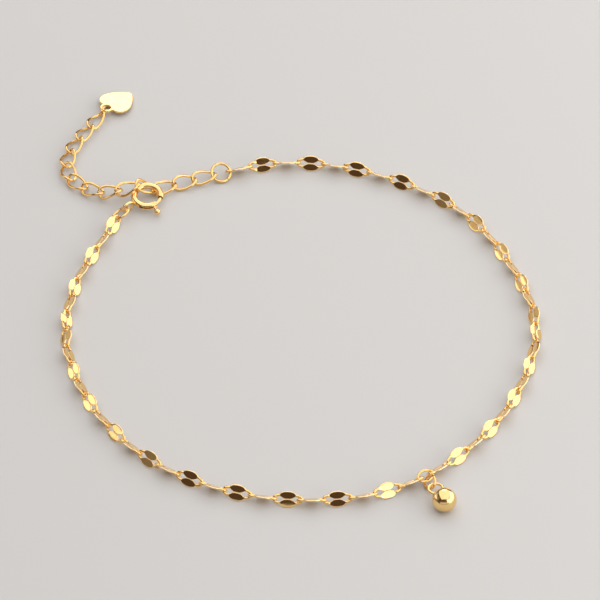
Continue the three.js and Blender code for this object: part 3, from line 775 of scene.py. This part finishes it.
heart_edge = soft_rim(heart_outline())
hole_edge = soft_rim(TAB_HOLE * spokes(np.linspace(0, -2 * np.pi, HOLE_POINTS, endpoint=False)))
heart_place = heart_ring_centre + heart_ring_ahead * (heart_ring_inside + TAB_HOLE - 2 * SEAT_GAP)
heart_place = heart_place - UP * HEART_THICKNESS / 2
heart_turn = turn_about((0, 1, 0), HEART_TILT) @ turn_about(UP, HEART_HEADING)
rings, skins, corners, first = [], [], [], 0
for edge in (heart_edge, hole_edge):
    faces, shares = grid_faces(*edge.shape[:2], closed_columns=False)
    rings.append(edge.reshape(-1, 3))
    skins.append(faces + first)
    corners.append(shares)
    first += edge.shape[0] * edge.shape[1]
heart = add_mesh(
    "heart_plate", np.concatenate(rings) @ heart_turn + heart_place, np.concatenate(skins),
    np.concatenate(corners), *HEART_MAP)

# The two flat faces are filled between the heart's rim and the hole's, above and below the plate's middle.
skin = bmesh.new()
skin.from_mesh(heart.data)
rims = [edge for edge in skin.edges if edge.is_boundary]
plate_up = Vector(heart_turn.T @ UP)
plate_middle = Vector((heart_place + UP * HEART_THICKNESS / 2) * MM)
for above in (True, False):
    loops = [edge for edge in rims if ((edge.verts[0].co - plate_middle).dot(plate_up) > 0) == above]
    bmesh.ops.triangle_fill(skin, edges=loops, use_beauty=True)
bmesh.ops.recalc_face_normals(skin, faces=skin.faces)
for face in skin.faces:
    face.smooth = True
skin.to_mesh(heart.data)
skin.free()
fit(heart, "heart_tag", bright_gold)

# Studio. A plain pale paper table top, soft boxes all round and above, and a camera that looks down on the
# anklet from the front through a long lens. Its places and sizes are in metres.

FLOOR_HALF = 1.6
PAPER_COLOUR = (0.6, 0.59, 0.575)
PAPER_ROUGHNESS = 0.9
PAPER_SPECULAR = 0.2
CAMERA_ELEVATION = 43
CAMERA_DISTANCE = 0.879
CAMERA_TARGET = (0.00048, -0.0015, 0.000905)
CAMERA_LENS = 360
SENSOR_WIDTH = 36
DIM_ROOM = (0.08, 0.055, 0.045)
SOFT_BOXES = [  # name, place, aim, width, height, turn in its own plane and brightness of its face
    ("right", (0.30, -0.01, 0.11), (0, -0.007, 0.05), 0.70, 0.21, 0, 2.0),
    ("front_right", (0.25, -0.314, 0.19), (0.013, -0.041, 0), 0.16, 0.16, 0, 2.0),
    ("front", (0, -0.55, 0.11), (0, 0, 0), 0.8, 0.16, 0, 0.6),
    ("left", (-0.30, 0.05, 0.06), (-0.03, -0.027, 0), 0.26, 0.06, 17, 1.1),
    ("left_back", (-0.42, 0.19, 0.13), (0.03, 0.01, 0.02), 0.40, 0.24, 0, 0.5),
    ("left_front", (-0.45, -0.13, 0.20), (0, -0.02, 0.02), 0.26, 0.34, 0, 0.13),
    ("back", (0.02, 0.42, 0.24), (-0.027, 0.043, 0), 0.25, 0.20, 0, 1.3),
    ("above", (0.08, 0.075, 0.48), (0.08, -0.053, 0), 1.0, 1.4, 0, 1.25),
]

floor_mesh = bpy.data.meshes.new("table_top")
floor_corners = [(-FLOOR_HALF, -FLOOR_HALF, 0), (FLOOR_HALF, -FLOOR_HALF, 0),
                 (FLOOR_HALF, FLOOR_HALF, 0), (-FLOOR_HALF, FLOOR_HALF, 0)]
floor_mesh.from_pydata(floor_corners, [], [(0, 1, 2, 3)])
floor = bpy.data.objects.new("table_top", floor_mesh)
bpy.context.scene.collection.objects.link(floor)
paper = bpy.data.materials.new("pale_paper")
paper.use_nodes = True
paper_shader = paper.node_tree.nodes["Principled BSDF"]
paper_shader.inputs["Base Color"].default_value = (*PAPER_COLOUR, 1)
paper_shader.inputs["Roughness"].default_value = PAPER_ROUGHNESS
paper_shader.inputs["Specular IOR Level"].default_value = PAPER_SPECULAR
floor_mesh.materials.append(paper)

for name, place, aim, width, height, turn, brightness in SOFT_BOXES:
    box = bpy.data.lights.new("soft_box_" + name, "AREA")
    box.shape = "RECTANGLE"
    box.size, box.size_y = width, height
    box.energy = brightness * np.pi * width * height  # watts for a face of that brightness
    lamp = bpy.data.objects.new(box.name, box)
    lamp.location = place
    facing = (Vector(aim) - Vector(place)).to_track_quat("-Z", "Y")
    lamp.rotation_euler = (facing @ Quaternion((0, 0, 1), np.radians(turn))).to_euler()
    lamp.visible_camera = False
    bpy.context.scene.collection.objects.link(lamp)

room = bpy.data.worlds.new("dim_room")
room.use_nodes = True
room.node_tree.nodes["Background"].inputs["Color"].default_value = (*DIM_ROOM, 1)
bpy.context.scene.world = room
bpy.context.scene.view_settings.view_transform = "Standard"

lens = bpy.data.cameras.new("camera")
lens.lens = CAMERA_LENS
lens.sensor_width = SENSOR_WIDTH
camera = bpy.data.objects.new("camera", lens)
down_angle = np.radians(CAMERA_ELEVATION)
back = Vector((0, -np.cos(down_angle), np.sin(down_angle)))
camera.location = Vector(CAMERA_TARGET) + CAMERA_DISTANCE * back
camera.rotation_euler = (-back).to_track_quat("-Z", "Y").to_euler()
bpy.context.scene.collection.objects.link(camera)
bpy.context.scene.camera = camera
